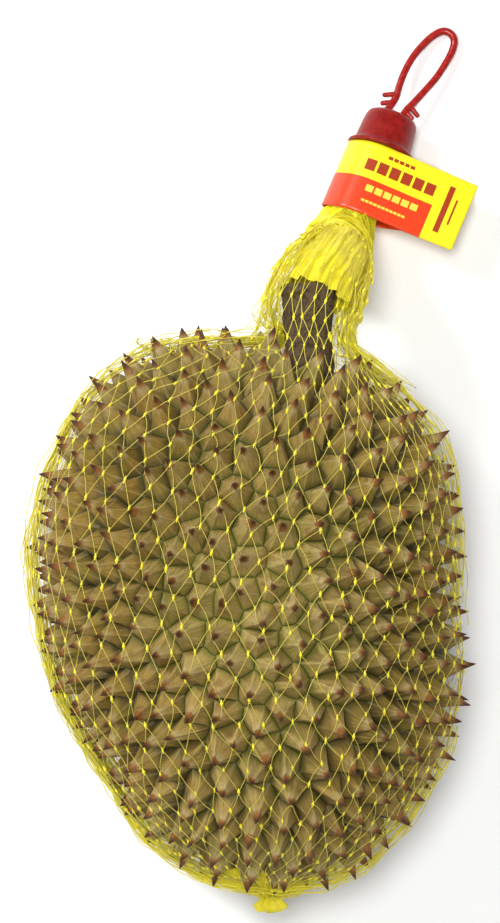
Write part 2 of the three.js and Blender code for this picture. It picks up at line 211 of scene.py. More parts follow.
# Print: where the red panel starts, down from the top edge and along from the flag's end, and plain blocks
# where a real label has words: (first, last, top, bottom, block and gap, colour), in millimetres.
PANEL_TOP = 16.2 * MM
PANEL_START = 15.5 * MM
DARK_INK = (0.33, 0.035, 0.006)
PALE_INK = (0.86, 0.60, 0.06)
LABEL_BARS = [
    (28.6, 41.5, 3.4, 4.9, 2.6, DARK_INK),
    (16.8, 50.3, 7.4, 12.6, 5.6, DARK_INK),
    (21.0, 46.1, 18.8, 21.8, 4.2, PALE_INK),
    (24.7, 45.5, 25.6, 26.7, 1.9, PALE_INK),
    (8.6, 11.2, 5.0, 27.0, 40.0, DARK_INK),
    (5.6, 6.5, 10.0, 22.0, 40.0, DARK_INK),
]
BLOCK_SHARE = 0.8


# ---- Small helpers


def unit(v):
    return v / np.linalg.norm(v, axis=-1, keepdims=True)


def wobble(points, length, seed):
    """A smooth random number from about -1 to 1 at each point, which varies over the given length."""
    waves = 5
    stream = np.random.default_rng(seed)
    ways = unit(stream.normal(size=(waves, 3))) * stream.uniform(0.7, 1.5, (waves, 1))
    phases = stream.uniform(0, TAU, waves)
    return np.sin(points @ ways.T * (TAU / length) + phases).sum(-1) / math.sqrt(waves)


def full_turn(count):
    """Angles evenly spaced round a circle."""
    return np.arange(count) / count * TAU


def ways_round(turn, right, over):
    """The directions at the given angles, from right towards over."""
    return np.cos(turn)[..., None] * right + np.sin(turn)[..., None] * over


def reach_along(points):
    """How far along a line each of its points is."""
    return np.r_[0, np.cumsum(np.linalg.norm(np.diff(points, axis=0), axis=1))]


def resample(points, count):
    """Evenly spaced points on a line, and how far along it each one is."""
    reach = reach_along(points)
    at = np.linspace(0, reach[-1], count)
    return np.stack([np.interp(at, reach, points[:, k]) for k in range(points.shape[1])], 1), at


def even_out(rows, rounds):
    """Smooths values from row to row. The first and the last row stay as they are."""
    for _ in range(rounds):
        rows[1:-1] = 0.25 * rows[:-2] + 0.5 * rows[1:-1] + 0.25 * rows[2:]
    return rows


def above_floor(points, gap):
    """The points, lifted where they are less than the gap above the floor."""
    points[..., 2] = np.maximum(points[..., 2], gap)
    return points


def add_object(name, data):
    obj = bpy.data.objects.new(name, data)
    bpy.context.scene.collection.objects.link(obj)
    return obj


def make_mesh(name, verts, faces, material):
    mesh = bpy.data.meshes.new(name)
    mesh.from_pydata(np.asarray(verts).tolist(), [], faces)
    mesh.update()
    mesh.materials.append(material)
    return mesh


def make_object(name, verts, faces, material, node):
    """A smooth mesh object that rides on the part's one body and stands for a CAD node."""
    mesh = make_mesh(name, verts, faces, material)
    mesh.shade_smooth()
    obj = add_object(name, mesh)
    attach(obj, "root")
    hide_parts(node)
    return obj


def set_attribute(obj, name, values):
    layer = obj.data.attributes.new(name, "FLOAT", "POINT")
    layer.data.foreach_set("value", np.asarray(values, np.float32).ravel())


def set_uv(obj, corner_uvs):
    """Gives the mesh a UV map from one (u, v) for each face corner, in face order."""
    layer = obj.data.uv_layers.new(name="strands")
    layer.data.foreach_set("uv", np.asarray(corner_uvs, np.float32).ravel())


def grid_faces(rows, columns, closed=True):
    """Quads between neighbouring rows of points. A closed grid joins its last column to its first."""
    faces = []
    for a in range(0, (rows - 1) * columns, columns):
        for j in range(columns if closed else columns - 1):
            k = (j + 1) % columns
            faces.append((a + j, a + k, a + columns + k, a + columns + j))
    return faces


def make_skin(name, rings, material, node):
    """A piece whose skin runs through rings of equally many points."""
    return make_object(name, np.vstack(rings), grid_faces(len(rings), len(rings[0])), material, node)


def grid_uvs(heights, columns, width):
    """The corner UVs of a closed grid's faces, from the height of each row and the width of a column."""
    uvs = []
    for low, high in zip(heights, heights[1:]):
        for j in range(columns):
            left, right = j * width, (j + 1) * width
            uvs += [(left, low), (right, low), (right, high), (left, high)]
    return uvs


def blend(t, start, end, first, last):
    """The first value at the start, the last one at the end, and in proportion at t."""
    return ((end - t) * first + (t - start) * last) / (end - start)


def curve_through(points, count):
    """Evenly spaced points on a smooth curve through the given ones."""
    points = np.asarray(points, float)
    padded = np.vstack([2 * points[0] - points[1], points, 2 * points[-1] - points[-2]])
    times = np.r_[0, np.cumsum(np.sqrt(np.linalg.norm(np.diff(padded, axis=0), axis=1)))]
    fine = []
    for i in range(len(padded) - 3):
        p0, p1, p2, p3 = padded[i : i + 4]
        t0, t1, t2, t3 = times[i : i + 4]
        for t in np.linspace(t1, t2, 24, endpoint=False):
            a1 = blend(t, t0, t1, p0, p1)
            a2 = blend(t, t1, t2, p1, p2)
            a3 = blend(t, t2, t3, p2, p3)
            b1 = blend(t, t0, t2, a1, a2)
            b2 = blend(t, t1, t3, a2, a3)
            fine.append(blend(t, t1, t2, b1, b2))
    return resample(np.array(fine + [points[-1]]), count)[0]


def level_frames(line):
    """For points on a line: its tangent, the level direction to its right, and the direction above it."""
    tangent = unit(np.gradient(line, axis=0))
    right = unit(np.cross(tangent, UP))
    return tangent, right, np.cross(right, tangent)


def node_mesh(name):
    """A CAD node's vertices, merged where they meet, and its triangles."""
    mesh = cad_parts[name].data
    mesh.calc_loop_triangles()
    co = np.zeros(len(mesh.vertices) * 3)
    mesh.vertices.foreach_get("co", co)
    co = co.reshape(-1, 3)
    tris = np.zeros(len(mesh.loop_triangles) * 3, int)
    mesh.loop_triangles.foreach_get("vertices", tris)
    keys = np.round(co / (0.01 * MM)).astype(int)
    _, first, merged = np.unique(keys, axis=0, return_index=True, return_inverse=True)
    return co[first], merged.ravel()[tris].reshape(-1, 3)


def put(tree, socket, value):
    """Links a socket to another node's output, or sets it to a plain value."""
    if isinstance(value, bpy.types.NodeSocket):
        tree.links.new(value, socket)
    else:
        socket.default_value = value


def add_node(tree, kind, inputs, **settings):
    made = tree.nodes.new("ShaderNode" + kind)
    for key, value in settings.items():
        setattr(made, key, value)
    for key, value in inputs.items():
        put(tree, made.inputs[key], value)
    return made


class Shader:
    """One procedural material, built a node at a time."""

    def __init__(self, name, **settings):
        self.material = bpy.data.materials.new(name)
        self.material.use_nodes = True
        self.tree = self.material.node_tree
        self.bsdf = self.tree.nodes["Principled BSDF"]
        for key, value in settings.items():
            self.set(key.replace("_", " "), value)

    def set(self, name, value):
        put(self.tree, self.bsdf.inputs[name], value)

    def node(self, kind, inputs, **settings):
        return add_node(self.tree, kind, inputs, **settings)

    def attribute(self, name):
        return self.node("Attribute", {}, attribute_name=name).outputs["Fac"]

    def place(self):
        return self.node("TexCoord", {}).outputs["Object"]

    def uv(self):
        return self.node("UVMap", {}, uv_map="strands").outputs["UV"]

    def stretch(self, vector, scale):
        return self.node("Mapping", {"Vector": vector, "Scale": scale}).outputs["Vector"]

    def noise(self, vector, scale, detail, roughness=0.55):
        inputs = {"Vector": vector, "Scale": scale, "Detail": detail, "Roughness": roughness}
        return self.node("TexNoise", inputs).outputs["Fac"]

    def math(self, operation, a, b=0.0):
        return self.node("Math", {0: a, 1: b}, operation=operation).outputs[0]

    def times(self, a, b):
        return self.math("MULTIPLY", a, b)

    def plus(self, a, b):
        return self.math("ADD", a, b)

    def within(self, value, low, high):
        """1 where the value lies between the limits, 0 elsewhere."""
        return self.times(self.math("GREATER_THAN", value, low), self.math("LESS_THAN", value, high))

    def remap(self, value, low, high, to_low=0.0, to_high=1.0):
        """A smooth step between two values. Low may be the greater of the two."""
        inputs = {"Value": value, "From Min": low, "From Max": high, "To Min": to_low, "To Max": to_high}
        return self.node("MapRange", inputs, interpolation_type="SMOOTHSTEP").outputs["Result"]

    def mix(self, factor, a, b, blend_type="MIX"):
        a = a if isinstance(a, bpy.types.NodeSocket) else (*a, 1)
        b = b if isinstance(b, bpy.types.NodeSocket) else (*b, 1)
        return self.node("Mix", {0: factor, 6: a, 7: b}, data_type="RGBA", blend_type=blend_type).outputs[2]

    def bump(self, height, distance, strength):
        inputs = {"Height": height, "Distance": distance, "Strength": strength}
        self.set("Normal", self.node("Bump", inputs).outputs["Normal"])


# ---- Husk


def husk_material():
    """Olive flanks with pale fibres, worn upper flanks and rust, green valleys with dark seams of painted
    shade, and brown tips, with painted highlights on the spines' edges and painted shade on the fruit's
    sides.
    """
    s = Shader("durian_rind", Roughness=0.62, Specular_IOR_Level=0.3)
    rise = s.attribute("rise")
    # side sets the painted shade on the fruit's sides, and the painted shade low between the spines there.
    side = s.attribute("side")
    fibres = s.noise(s.stretch(s.uv(), (1.0, 0.10, 1.0)), 1500.0, 3.0, 0.65)
    patches = s.noise(s.place(), 26.0, 3.0)
    rust = s.noise(s.place(), 95.0, 3.0, 0.6)
    grain = s.noise(s.place(), 700.0, 3.0)
    # The flanks differ in patches and from spine to spine, and their fibres are light and dark.
    flank = s.mix(s.remap(patches, 0.35, 0.65), (0.245, 0.208, 0.038), (0.35, 0.238, 0.062))
    flank = s.mix(s.remap(s.attribute("cell"), 0.0, 1.0, 0.0, 0.5), flank, (0.38, 0.285, 0.095))
    pale = s.times(s.remap(fibres, 0.4, 0.68), s.remap(rise, 0.1, 0.75, 0.2, 0.6))
    flank = s.mix(pale, flank, (0.60, 0.48, 0.25))
    flank = s.mix(s.remap(fibres, 0.5, 0.3, 0.0, 0.5), flank, (0.14, 0.105, 0.025))
    green = s.mix(patches, (0.15, 0.15, 0.022), (0.22, 0.19, 0.04))
    colour = s.mix(s.remap(rise, 0.02, 0.2), green, flank)
    colour = s.mix(s.remap(rust, 0.54, 0.7, 0.0, 0.55), colour, (0.24, 0.115, 0.032))
    # Painted shade: the fruit's sides are darker and browner than its top, and darker still low between the
    # spines, where shadow falls.
    colour = s.mix(side, colour, (0.63, 0.56, 0.29), "MULTIPLY")
    painted_crease_shade = s.times(side, s.remap(rise, 0.34, 0.03, 0.0, 0.75))
    colour = s.mix(painted_crease_shade, colour, (0.05, 0.036, 0.012))
    # Rubbing has made the upper flanks pale. The corners between the flanks get a pale painted highlight.
    worn = s.times(s.remap(rise, 0.45, 0.76), s.remap(fibres, 0.35, 0.6, 0.1, 0.6))
    colour = s.mix(worn, colour, (0.58, 0.47, 0.26))
    colour = s.mix(s.remap(s.attribute("ridge"), 0.8, 1.0, 0.0, 0.16), colour, (0.46, 0.37, 0.18))
    # The brown of the tips has an uneven lower edge, and the valleys end in a dark seam of painted shade,
    # where neighbouring spines meet in a groove.
    level = s.plus(rise, s.remap(fibres, 0.3, 0.7, -0.05, 0.05))
    level = s.plus(level, s.remap(rust, 0.45, 0.7, 0.0, 0.14))
    tip = s.mix(s.remap(rise, 0.74, 0.9), (0.23, 0.09, 0.018), (0.075, 0.028, 0.009))
    colour = s.mix(s.remap(level, 0.67, 0.81), colour, tip)
    # Painted shade: the darkest green at the very bottom of each valley.
    colour = s.mix(s.remap(rise, 0.036, 0.0), colour, (0.03, 0.045, 0.01))
    s.set("Base Color", colour)
    s.set("Roughness", s.remap(fibres, 0.3, 0.7, 0.72, 0.5))
    s.bump(s.plus(s.times(fibres, 0.7), s.times(grain, 0.5)), 0.7 * MM, 0.9)
    return s.material


def spine_cells(verts, tris):
    """The husk's spines, each as its ring of corners in the valleys and the point where its flanks meet."""
    normals = np.cross(verts[tris[:, 1]] - verts[tris[:, 0]], verts[tris[:, 2]] - verts[tris[:, 0]])
    sides = defaultdict(list)
    for face, corners in enumerate(tris):
        for k in range(3):
            sides[frozenset((corners[k], corners[(k + 1) % 3]))].append((face, corners[(k + 2) % 3]))
    group = list(range(len(tris)))

    def root(face):
        while group[face] != face:
            face = group[face]
        return face

    valleys = set()
    for side, ((face, _), (other, far)) in sides.items():
        start = verts[min(side)]
        if unit(normals[face]) @ unit(verts[far] - start) > VALLEY_BEND:
            valleys.add(side)
        else:
            group[root(face)] = root(other)
    members = defaultdict(list)
    for face in range(len(tris)):
        members[root(face)].append(face)
    cells = []
    for faces in members.values():
        follows = {}
        for face in faces:
            for k in range(3):
                a, b = tris[face][k], tris[face][(k + 1) % 3]
                if frozenset((a, b)) in valleys:
                    follows[a] = b
        ring = [min(follows)]
        while follows[ring[-1]] != ring[0]:
            ring.append(follows[ring[-1]])
        flanks = [face for face in faces if verts[tris[face]][:, 2].max() > ON_FLOOR]
        planes = normals[flanks]
        offsets = np.einsum("ij,ij->i", planes, verts[tris[flanks, 0]])
        apex = np.linalg.lstsq(planes, offsets, rcond=1e-4)[0]
        cells.append((ring, apex))
    return cells


def valley_points(verts, ring, centre):
    """Points round a cell's valley. Neighbours get the same points on the side that they share."""
    points, shares = [], []
    for a, b in zip(ring, ring[1:] + ring[:1]):
        low, high = min(a, b), max(a, b)
        count = max(3, round(np.linalg.norm(verts[a] - verts[b]) / VALLEY_STEP))
        share = np.arange(count) / count
        along = share if a == low else 1 - share
        line = verts[low] + (verts[high] - verts[low]) * along[:, None]
        bow = np.sin(math.pi * along)[:, None]
        drift = np.stack([wobble(line, 16 * MM, seed) for seed in (1, 2, 3)], 1)
        points.append(line + drift * bow * VALLEY_DRIFT - unit(line - centre) * VALLEY_DEPTH)
        shares.append(share)
    return np.vstack(points), np.concatenate(shares)


def spine_rings(valley, share, middle, apex, bend, sharp, hollow):
    """One spine's rings of points, from its valley to just under its tip."""
    midway = 4 * share * (1 - share)
    rings = [valley]
    for wide, high in SPINE_PROFILE:
        up = high**sharp
        inset = 1 - hollow * midway * math.sin(math.pi * min(1.0, up * 1.1))
        axis = middle + (apex - middle) * up + bend * up**2
        rings.append(axis + (valley - middle) * (wide * inset)[:, None])
    return rings


def spine_faces(start, around, girth, heights):
    """One spine's faces and the UVs of their corners: quads between its rings, and triangles to its tip."""
    faces, uvs = [], []
    tip = start + around * (len(heights) - 1)
    for a, low, high in zip(range(start, tip, around), heights, heights[1:]):
        for j in range(around):
            k = (j + 1) % around
            uvs += [(girth[j], low), (girth[j + 1], low)]
            if a + around < tip:
                faces.append((a + j, a + k, a + around + k, a + around + j))
                uvs += [(girth[j + 1], high), (girth[j], high)]
            else:
                faces.append((a + j, a + k, tip))
                uvs.append((girth[j], high))
    return faces, uvs


def build_husk():
    """The spiny fruit. Returns its points, its faces, the tips of its spines and its centre."""
    verts, tris = node_mesh("husk")
    low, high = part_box("husk")
    centre = np.array((low + high) / 2)
    foot, _ = stem_line()
    stream = np.random.default_rng(5)
    rises = np.array([0.0, *(high_share for _, high_share in SPINE_PROFILE), 1.0])
    places, faces, uvs, tips = [], [], [], []
    values = defaultdict(list)
    start = 0
    for ring, apex in spine_cells(verts, tris):
        valley, share = valley_points(verts, ring, centre)
        middle = valley.mean(0) + unit(valley.mean(0) - centre) * VALLEY_DEPTH
        bald = np.linalg.norm(middle - foot) < BALD_RADIUS
        apex = middle if bald else middle + (apex - middle) * SPINE_STRETCH
        bend = np.zeros(3) if bald else stream.normal(size=3) * SPINE_BEND / math.sqrt(3)
        sharp = stream.uniform(0.9, 1.15)
        rings = spine_rings(valley, share, middle, apex, bend, sharp, 0.0 if bald else SPINE_HOLLOW)
        tips.append(apex + bend)
        places += [*rings, tips[-1][None]]
        around = len(valley)
        count = around * len(rings) + 1
        tint = stream.uniform()
        girth = reach_along(np.vstack([valley, valley[:1]])) + tint * 3
        made, corners = spine_faces(start, around, girth, rises * SPINE_HEIGHT)
        faces += made
        uvs += corners
        start += count
        # How far to the side of the fruit the spine is, for the painted shade in its material: 0 on top, 1
        # at the left and right.
        way = unit(middle - centre)
        side = np.clip((0.97 - way[2]) / 0.42, 0, 1) * np.clip(0.5 + 0.9 * abs(way[0]), 0, 1)
        grown = np.append(np.repeat(rises[:-1], around), 1.0)
        values["rise"].append(np.full(count, 0.02) if bald else grown)
        # ridge is 1 along the spine's edges, where the material paints a highlight.
        values["ridge"].append(np.append(np.tile(np.abs(2 * share - 1), len(rings)), 0.0))
        values["cell"].append(np.full(count, tint))
        values["side"].append(np.full(count, side))
    places = above_floor(np.vstack(places), 0.0)
    obj = make_object("fine_husk", places, faces, husk_material(), "husk")
    for name, parts in values.items():
        set_attribute(obj, name, np.concatenate(parts))
    set_uv(obj, uvs)
    return places, faces, np.array(tips), centre


# ---- Stalk


def stem_line():
    """The middles of the CAD stalk's foot and of its cut end."""
    verts, _ = node_mesh("stem")
    middle = verts.mean(0)
    axis = np.linalg.svd(verts - middle)[2][0]
    axis = axis * np.sign(axis[1])
    reach = (verts - middle) @ axis
    return middle + axis * reach.min(), middle + axis * reach.max()


def stem_material():
    """Dark brown bark with a grain along the stalk, pale ridges and nearly black scales."""
    s = Shader("stalk_bark", Roughness=0.85, Specular_IOR_Level=0.25)
    grain = s.noise(s.stretch(s.place(), (1.0, 0.22, 1.0)), 900.0, 5.0, 0.65)
    scales = s.noise(s.place(), 420.0, 4.0, 0.6)
    blotch = s.noise(s.place(), 90.0, 2.0)
    colour = s.mix(blotch, (0.058, 0.037, 0.016), (0.108, 0.073, 0.035))
    colour = s.mix(s.remap(grain, 0.45, 0.7, 0.0, 0.7), colour, (0.16, 0.115, 0.06))
    colour = s.mix(s.remap(scales, 0.55, 0.35, 0.0, 0.75), colour, (0.025, 0.016, 0.009))
    s.set("Base Color", colour)
    s.bump(s.plus(grain, s.times(scales, 1.3)), 0.7 * MM, 0.9)
    return s.material


def build_stem():
    """The woody stalk, from its root inside the fruit to its rough cut end."""
    foot, end = stem_line()
    axis = unit(end - foot)
    side = unit(np.cross(axis, UP))
    over = np.cross(side, axis)
    turn = full_turn(96)
    way = ways_round(turn, side, over)
    shares, radii = np.array(STEM_PROFILE).T
    rings = []
    for t in np.linspace(-STEM_ROOT, 1.0, 70):
        radius = np.interp(t, shares, radii) * MM
        centre = foot + (end - foot) * t
        rough = centre + way * radius
        lump = 0.35 * wobble(rough, 14 * MM, 21) + 0.22 * np.cos(turn * 7 + 3 * t)
        lump = lump + 0.12 * wobble(rough, 3 * MM, 22)
        rings.append(centre + way * (radius + lump * MM)[:, None])
    edge = rings[-1]
    for inward, sink in STEM_CUT:
        ring = end + (edge - end) * inward
        dip = sink * MM + 0.25 * MM * wobble(ring, 5 * MM, 23)
        rings.append(ring - axis * dip[:, None])
    make_skin("fine_stem", rings, stem_material(), "stem")


# ---- Net


def net_material(name, dense):
    """Yellow plastic: a dense pleated mass, or strands painted dim and greenish where they get little
    painted light, and full yellow where they get much.
    """
    s = Shader(name, Roughness=0.4, Specular_IOR_Level=0.4)
    grain = s.noise(s.place(), 260.0, 3.0)
    colour = s.mix(s.remap(grain, 0.3, 0.7), (0.66, 0.565, 0.007), (0.80, 0.70, 0.025))
    if dense:
        strands = s.noise(s.stretch(s.uv(), (1.0, 0.05, 1.0)), 1100.0, 3.0, 0.6)
        colour = s.mix(s.remap(strands, 0.5, 0.36, 0.0, 0.6), colour, (0.50, 0.40, 0.005))
        s.bump(strands, 0.7 * MM, 0.7)
    else:
        # Painted light: the strands go from dim greenish yellow to full yellow as their painted light rises.
        colour = s.mix(s.attribute("tone_and_painted_light"), (0.50, 0.43, 0.06), colour)
    s.set("Base Color", colour)
    s.set("Subsurface Weight", 0.25)
    s.set("Subsurface Radius", (1.0, 0.9, 0.2))
    s.set("Subsurface Scale", 0.8 * MM)
    return s.material


class HeightMap:
    """The distance from the fruit's centre to a surface in every direction, on a grid round the Y axis."""

    def __init__(self, centre, verts, faces, lats):
        tree = BVHTree.FromPolygons(verts.tolist(), faces)
        self.centre = centre
        self.lats, self.lons = lats, 2 * lats
        lon = (np.arange(self.lons) + 0.5) / self.lons * TAU - math.pi
        lat = (np.arange(lats) + 0.5)[:, None] / lats * math.pi - math.pi / 2
        ways = np.stack([np.cos(lat) * np.cos(lon), np.sin(lat) + 0 * lon, np.cos(lat) * np.sin(lon)], -1)
        self.grid = np.array([[hit_distance(tree, centre, way, 0.25) for way in row] for row in ways])

    def at(self, ways):
        """The distance in each of the given directions."""
        lon = (np.arctan2(ways[..., 2], ways[..., 0]) + math.pi) / TAU * self.lons - 0.5
        lat = (np.arcsin(np.clip(ways[..., 1], -1, 1)) + math.pi / 2) / math.pi * self.lats - 0.5
        lat = np.clip(lat, 0, self.lats - 1.001)
        i, j = np.floor(lat).astype(int), np.floor(lon).astype(int)
        u, v = lat - i, lon - j
        j0, j1 = j % self.lons, (j + 1) % self.lons
        low = self.grid[i, j0] * (1 - v) + self.grid[i, j1] * v
        high = self.grid[i + 1, j0] * (1 - v) + self.grid[i + 1, j1] * v
        return low * (1 - u) + high * u

    def push_out(self, points, clearance):
        """Moves points that are inside the surface out along its slope, by one short step at the most."""
        most = 1.2 * MM
        angle = 0.008
        offset = points - self.centre
        radius = np.linalg.norm(offset, axis=-1)
        way = offset / radius[..., None]
        here = self.at(way)
        deep = here + clearance - radius
        level = unit(np.cross(way, np.array([0.0, 1.0, 0.0]) + 1e-6))
        other = np.cross(way, level)
        slope_a = (self.at(unit(way + angle * level)) - here) / (angle * here)
        slope_b = (self.at(unit(way + angle * other)) - here) / (angle * here)
        normal = way - slope_a[..., None] * level - slope_b[..., None] * other
        steep = np.linalg.norm(normal, axis=-1)
        normal = normal / steep[..., None]
        move = np.where(deep > 0, deep / steep, 0.0)
        return points + normal * np.minimum(move, most)[..., None]


def hit_distance(tree, middle, way, far):
    """How far from the middle the tree's outermost surface is, up to the far distance, or 0 for none."""
    way = Vector(way)
    hit = tree.ray_cast(Vector(middle) + way * far, -way, far)
    return far - hit[3] if hit[0] else 0.0


def cap_frame():
    """The CAD cap's mouth centre, and its right, outward and upward directions."""
    verts, tris = node_mesh("clip_cap")
    corners = verts[tris]
    areas = np.linalg.norm(np.cross(corners[:, 1] - corners[:, 0], corners[:, 2] - corners[:, 0]), axis=1)
    centres = corners.mean(1)
    middle = np.average(centres, axis=0, weights=areas)
    spread = np.cov((centres - middle).T, aweights=areas)
    values, ways = np.linalg.eigh(spread)
    odd = np.argmax(np.abs(values - np.median(values)))
    out = ways[:, odd] * np.sign(ways[1, odd])
    reach = (verts - middle) @ out
    right = unit(np.cross(out, UP))
    return middle + out * reach.min(), right, out, np.cross(right, out)


def in_cap_frame(points):
    """Points from the cap's own frame to the part's."""
    origin, right, out, over = cap_frame()
    points = np.asarray(points, float)
    return origin + points[..., 0:1] * right + points[..., 1:2] * out + points[..., 2:3] * over


def sleeve_line(centre):
    """The middle of the net from its tab to the inside of the cap."""
    foot, end = stem_line()
    start = np.array([*SLEEVE_START, 0]) * MM + TAB_HEIGHT * UP
    drop = end + np.array(SLEEVE_DROP) * MM
    throat = in_cap_frame(np.array([(x, y, 0) for x, y in SLEEVE_THROAT]) * MM)
    return curve_through([start, centre, foot, *drop, *throat], 260)


def sleeve_skin(line, turns):
    """The radius of the CAD net round the line, at every point of the line and every turn."""
    nodes = [node_mesh(name) for name in ("net_bag", "net_neck")]
    trees = [BVHTree.FromPolygons(verts.tolist(), tris.tolist()) for verts, tris in nodes]
    _, right, over = level_frames(line)
    foot, _ = stem_line()
    radii = np.zeros((len(line), len(turns)))
    for i, at in enumerate(line):
        on_fruit = at[1] < foot[1] + 8 * MM
        far = 130 * MM if on_fruit else 45 * MM
        most = np.interp(at[1], *np.array(TAB_DRAW).T)
        for j, turn in enumerate(turns):
            way = math.cos(turn) * right[i] + math.sin(turn) * over[i]
            found = max(hit_distance(tree, at, way, far) for tree in trees)
            floor = (at[2] - 0.6 * MM) / -way[2] if way[2] < -0.05 else 1.0
            radii[i, j] = min(found if found > 0 else 4 * MM, floor, most)
    return radii


def bunching(line):
    """How far the columns crowd to the sides: only round the stalk, where the net is pulled flat over it."""
    foot, end = stem_line()
    y = line[:, 1]
    rising = np.clip((y - foot[1] + 6 * MM) / (22 * MM), 0, 1)
    falling = np.clip((end[1] + 26 * MM - y) / (18 * MM), 0, 1)
    return 0.4 * rising * falling


def row_places(line, skin, in_gather):
    """How far along the sleeve's skin each row of knots is, and the same for each point of the line."""
    mean = skin.mean(1)
    gap = np.linalg.norm(np.diff(line, axis=0), axis=1)
    reach = np.r_[0, np.cumsum(np.hypot(gap, np.diff(mean)))]
    last = reach[np.argmax(in_gather >= 1)] + 5 * MM
    rows = [0.0]
    while rows[-1] < last:
        half = math.pi * np.interp(rows[-1], reach, mean) / COLUMNS
        rows.append(rows[-1] + math.sqrt(STRAND_LENGTH**2 - half**2) * ROW_SLACK)
    return rows, reach


def lay_net(centre):
    """The net's knots as laid on the CAD net's skin: [row, column]."""
    line = sleeve_line(centre)
    turns = full_turn(2 * COLUMNS)
    skin = even_out(sleeve_skin(line, turns), 6)
    _, right, over = level_frames(line)
    bunch = bunching(line)
    origin, _, out, _ = cap_frame()
    in_gather = np.clip(((line - origin) @ out + LABEL_HEIGHT + DIVE_BELOW) / DIVE_LENGTH, 0, 1)
    rows, reach = row_places(line, skin, in_gather)
    stream = np.random.default_rng(3)
    knots = np.zeros((len(rows), COLUMNS, 3))
    for i, row in enumerate(rows):
        at = np.interp(row, reach, np.arange(len(line)))
        k = int(min(at, len(line) - 2))
        f = at - k
        # Every second row is shifted by half a column.
        turn = (np.arange(COLUMNS) + 0.5 * (i % 2)) / COLUMNS * TAU + stream.normal(size=COLUMNS) * 0.012
        turn = turn + bunch[k] * np.sin(2 * (turn - math.pi / 2))
        radius = np.interp(turn % TAU, turns, (1 - f) * skin[k] + f * skin[k + 1], period=TAU)
        loose = np.clip(stream.normal(size=COLUMNS), -1.5, 1.5) * 0.9 * MM * (1 - in_gather[k])
        radius = radius * (1 - DIVE_DEPTH * in_gather[k]) + loose
        middle = (1 - f) * line[k] + f * line[k + 1]
        knots[i] = middle + ways_round(turn, right[k], over[k]) * radius[:, None]
    return knots


def on_neck(points):
    """How far each point is part of the neck: 0 on the fruit, 1 round the stalk and beyond it."""
    foot, end = stem_line()
    axis = unit(end - foot)
    along = (points - foot) @ axis
    away = np.linalg.norm(points - foot - along[..., None] * axis, axis=-1)
    round_stalk = np.clip((along + 2 * MM) / (9 * MM), 0, 1) * np.clip((36 * MM - away) / (10 * MM), 0, 1)
    return np.maximum(round_stalk, np.clip((points[..., 1] - foot[1] - 22 * MM) / (6 * MM), 0, 1))


def upper_knots(count):
    """The row and the column of each strand's upper knot: [row, column, side]."""
    rows = np.arange(1, count)[:, None, None]
    columns = np.arange(COLUMNS)[:, None]
    sides = np.array([-1, 0]) + (rows - 1) % 2
    return np.broadcast_arrays(rows, (columns + sides) % COLUMNS)


def knot_pairs(values):
    """The values at the lower and at the upper knot of each strand: [row, column, side]."""
    return np.repeat(values[:-1, :, None], 2, 2), values[tuple(upper_knots(len(values)))]


def whole_strands(knots, inner):
    """The strands' points with the knots at both ends: [row, column, side, point]."""
    low, high = knot_pairs(knots)
    return np.concatenate([low[..., None, :], inner, high[..., None, :]], -2)


def settle(knots, husk_map, hull_map):
    """Tightens the net on the fruit: the strands keep their length and slide off the spines they meet.

    Returns the knots and the points of the strands: [row, column, side, point].
    """
    low, high = knot_pairs(knots)
    share = np.arange(1, STRAND_PARTS) / STRAND_PARTS
    inner = low[..., None, :] + (high - low)[..., None, :] * share[:, None]
    bow = np.random.default_rng(4).normal(size=low.shape)[..., None, :]
    bow = bow * STRAND_BOW * (1 - on_neck(low))[..., None, None]
    inner = inner + bow * np.sin(math.pi * share)[:, None]
    part = STRAND_LENGTH / STRAND_PARTS
    free = 1 - 0.96 * on_neck(knots)[..., None]
    free[:1] = 0
    inner_free = np.repeat(free[:-1, :, None, None], 2, 2)
    upper = tuple(upper_knots(len(knots)))
    for _ in range(NET_ROUNDS):
        # Each part pulls its two ends together where it is too long, and pushes them weakly where too short.
        step = np.diff(whole_strands(knots, inner), axis=-2)
        length = np.linalg.norm(step, axis=-1, keepdims=True)
        stretch = np.where(length > part, 1.0, 0.25) * (length - part) / length * step * 0.5
        inner = inner + (stretch[..., 1:, :] - stretch[..., :-1, :]) * 0.9 * inner_free
        pull = np.zeros_like(knots)
        pull[:-1] += stretch[..., 0, :].sum(2)
        np.add.at(pull, upper, -stretch[..., -1, :])
        knots = rest_on_fruit(knots + pull * 0.5 * free, free, husk_map, hull_map)
        inner = rest_on_fruit(inner, inner_free, husk_map, hull_map)
    return knots, whole_strands(knots, inner)


def rest_on_fruit(points, free, husk_map, hull_map):
    """Draws points in towards the fruit, but not into its spines, nor far below the level of the tips."""
    draw = 0.12 * MM
    offset = points - husk_map.centre
    radius = np.linalg.norm(offset, axis=-1)
    way = offset / radius[..., None]
    on_fruit = free[..., 0] > 0.3
    level = 1 - np.clip(way[..., 2], 0, 1)
    left = np.clip(-way[..., 0], 0, 1) ** 2 * level
    corner = np.clip(way @ NET_CORNER, 0, 1) ** 4 * level
    least = hull_map.at(way) - NET_SINK + NET_SLACK_LEFT * left + NET_SLACK_CORNER * corner
    radius = np.where(on_fruit, np.maximum(radius - draw, least), radius)
    moved = husk_map.centre + way * radius[..., None]
    moved = np.where(on_fruit[..., None], husk_map.push_out(moved, 0.35 * MM), moved)
    return above_floor(moved, STRAND_GAP)


def tubes(lines, radius, sides, outward):
    """Round strands along many lines of equal point count: vertices [line, point, side] and their quads."""
    tangent = unit(np.gradient(lines, axis=1))
    side = unit(np.cross(tangent, outward))
    return tubes_across(lines, radius, sides, side, np.cross(side, tangent))


